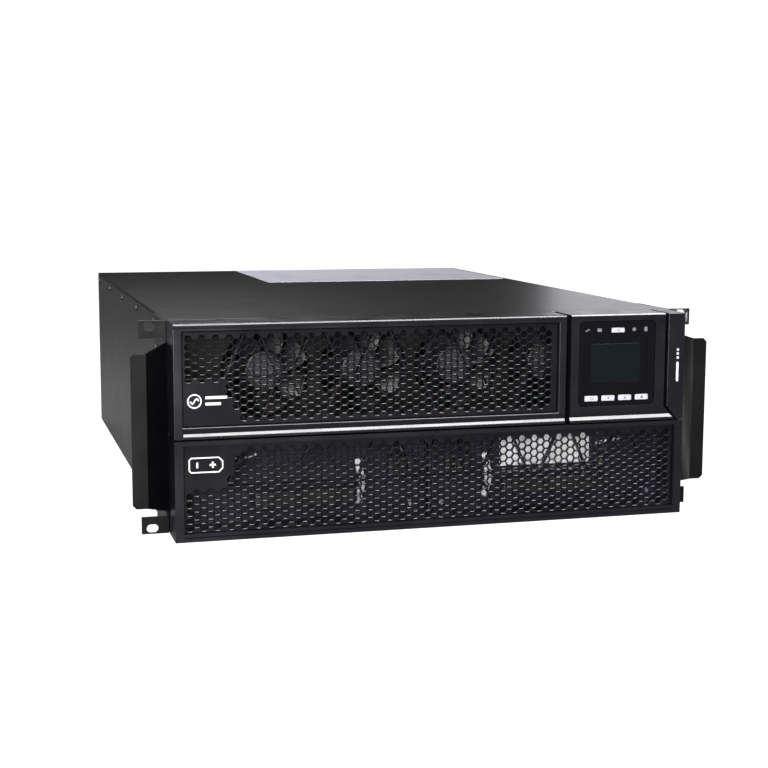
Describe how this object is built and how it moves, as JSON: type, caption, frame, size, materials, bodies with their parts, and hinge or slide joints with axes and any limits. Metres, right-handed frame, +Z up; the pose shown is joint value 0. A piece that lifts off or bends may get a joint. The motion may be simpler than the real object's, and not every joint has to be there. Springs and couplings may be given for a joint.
{
  "type": "rackmount uninterruptible power supply",
  "caption": "Rack-mount uninterruptible power supply: black steel case, perforated front bezels, display panel, fans, slide-out battery modules and rack ears with pull handles.",
  "frame": {"origin": "middle of the underside of the object's box: the case stands on z = 0, and the box is centred in X and Y", "axes": "+X to the viewer's right when facing the front bezels, +Y from the front bezels to the rear panel, +Z up"},
  "size_m": [0.5, 0.646, 0.1743],
  "materials": {
    "case_paint": "black powder coat, fine satin texture",
    "zinc_sheet": "plain zinc-plated sheet",
    "bezel_plastic": "black moulded plastic, fine satin texture",
    "mesh_paint": "black coated perforated sheet",
    "display_gloss": "smoked gloss black window",
    "lcd_surface": "dark liquid-crystal panel, switched off",
    "button_plastic": "pale grey translucent key caps",
    "light_pipe": "clear moulded light pipe",
    "circuit_board": "green solder mask",
    "fan_plastic": "black glass-filled plastic",
    "battery_shell": "dark grey moulded shell",
    "black_moulding": "black moulded plastic",
    "white_strap": "white flexible plastic strap",
    "label_film": "white satin label film, no print",
    "heatsink_alloy": "bare extruded aluminium",
    "capacitor_sleeve": "dark shrink sleeve over a metal can",
    "copper_winding": "enamelled copper winding",
    "grey_moulding": "grey moulded plastic",
    "brass": "bare brass"
  },
  "bodies": {
    "enclosure": {"bay_divider": "case_paint", "bay_shelf": "zinc_sheet", "cable_gland": "black_moulding", "chassis_tray": "case_paint", "control_board": "circuit_board", "dc_capacitor_1": "capacitor_sleeve", "dc_capacitor_2": "capacitor_sleeve", "dc_capacitor_3": "capacitor_sleeve", "display_bezel": "bezel_plastic", "display_board": "circuit_board", "display_glass": "display_gloss", "ear_left": "case_paint", "ear_right": "case_paint", "external_battery_socket": "grey_moulding", "fan_bulkhead": "case_paint", "fan_frame_1": "fan_plastic", "fan_frame_2": "fan_plastic", "fan_frame_3": "fan_plastic", "fan_frame_4": "fan_plastic", "ground_stud": "brass", "heatsink_left": "heatsink_alloy", "heatsink_right": "heatsink_alloy", "indicator_light_pipe": "light_pipe", "input_breaker": "black_moulding", "lcd_module": "lcd_surface", "network_card": "case_paint", "outlet_bank_c13": "black_moulding", "outlet_bank_c19": "black_moulding", "output_inductor": "copper_winding", "port_plate": "case_paint", "power_board": "circuit_board", "rear_panel": "case_paint", "side_column": "bezel_plastic", "terminal_cover": "case_paint", "top_cover": "case_paint", "top_label": "label_film", "upper_bezel_frame": "bezel_plastic", "upper_mesh": "mesh_paint"},
    "lower_bezel": {"lower_bezel_frame": "bezel_plastic", "lower_mesh": "mesh_paint"},
    "fan_rotor_1": {"fan_rotor_1": "fan_plastic"},
    "fan_rotor_2": {"fan_rotor_2": "fan_plastic"},
    "fan_rotor_3": {"fan_rotor_3": "fan_plastic"},
    "fan_rotor_4": {"fan_rotor_4": "fan_plastic"},
    "menu_button_1": {"menu_button_1": "button_plastic"},
    "menu_button_2": {"menu_button_2": "button_plastic"},
    "menu_button_3": {"menu_button_3": "button_plastic"},
    "menu_button_4": {"menu_button_4": "button_plastic"},
    "power_button": {"power_button": "button_plastic"},
    "breaker_button": {"breaker_button": "button_plastic"},
    "battery_left": {"battery_case_left": "battery_shell", "battery_handle_left": "black_moulding", "battery_plug_left": "black_moulding", "battery_pull_tab_left": "white_strap"},
    "battery_right": {"battery_case_right": "battery_shell", "battery_handle_right": "black_moulding", "battery_plug_right": "black_moulding", "battery_pull_tab_right": "white_strap", "battery_label": "label_film"}
  },
  "joints": [
    {"name": "fan_1_spin", "type": "hinge", "parent": "enclosure", "child": "fan_rotor_1", "pos_m": [-0.138, -0.272, 0.13], "axis": [0, 1, 0], "continuous": true},
    {"name": "fan_2_spin", "type": "hinge", "parent": "enclosure", "child": "fan_rotor_2", "pos_m": [-0.056, -0.272, 0.13], "axis": [0, 1, 0], "continuous": true},
    {"name": "fan_3_spin", "type": "hinge", "parent": "enclosure", "child": "fan_rotor_3", "pos_m": [0.026, -0.272, 0.13], "axis": [0, 1, 0], "continuous": true},
    {"name": "fan_4_spin", "type": "hinge", "parent": "enclosure", "child": "fan_rotor_4", "pos_m": [0.108, -0.272, 0.13], "axis": [0, 1, 0], "continuous": true},
    {"name": "menu_button_1_press", "type": "slide", "parent": "enclosure", "child": "menu_button_1", "axis": [0, 1, 0], "range_m": [0, 0.001], "stiffness_N_per_m": 600},
    {"name": "menu_button_2_press", "type": "slide", "parent": "enclosure", "child": "menu_button_2", "axis": [0, 1, 0], "range_m": [0, 0.001], "stiffness_N_per_m": 600},
    {"name": "menu_button_3_press", "type": "slide", "parent": "enclosure", "child": "menu_button_3", "axis": [0, 1, 0], "range_m": [0, 0.001], "stiffness_N_per_m": 600},
    {"name": "menu_button_4_press", "type": "slide", "parent": "enclosure", "child": "menu_button_4", "axis": [0, 1, 0], "range_m": [0, 0.001], "stiffness_N_per_m": 600},
    {"name": "power_button_press", "type": "slide", "parent": "enclosure", "child": "power_button", "axis": [0, 1, 0], "range_m": [0, 0.001], "stiffness_N_per_m": 600},
    {"name": "breaker_reset_press", "type": "slide", "parent": "enclosure", "child": "breaker_button", "axis": [0, -1, 0], "range_m": [0, 0.003], "stiffness_N_per_m": 900},
    {"name": "battery_left_slide", "type": "slide", "parent": "enclosure", "child": "battery_left", "axis": [0, -1, 0], "range_m": [0, 0.36]},
    {"name": "battery_right_slide", "type": "slide", "parent": "enclosure", "child": "battery_right", "axis": [0, -1, 0], "range_m": [0, 0.36]},
    {"name": "lower_bezel_pull", "type": "slide", "parent": "enclosure", "child": "lower_bezel", "axis": [0, -1, 0], "range_m": [0, 0.45]}
  ],
  "couplings": [
    {"joint": "battery_right_slide", "follows": "battery_left_slide", "ratio": 1},
    {"joint": "lower_bezel_pull", "follows": "battery_left_slide", "ratio": 1.25}
  ]
}
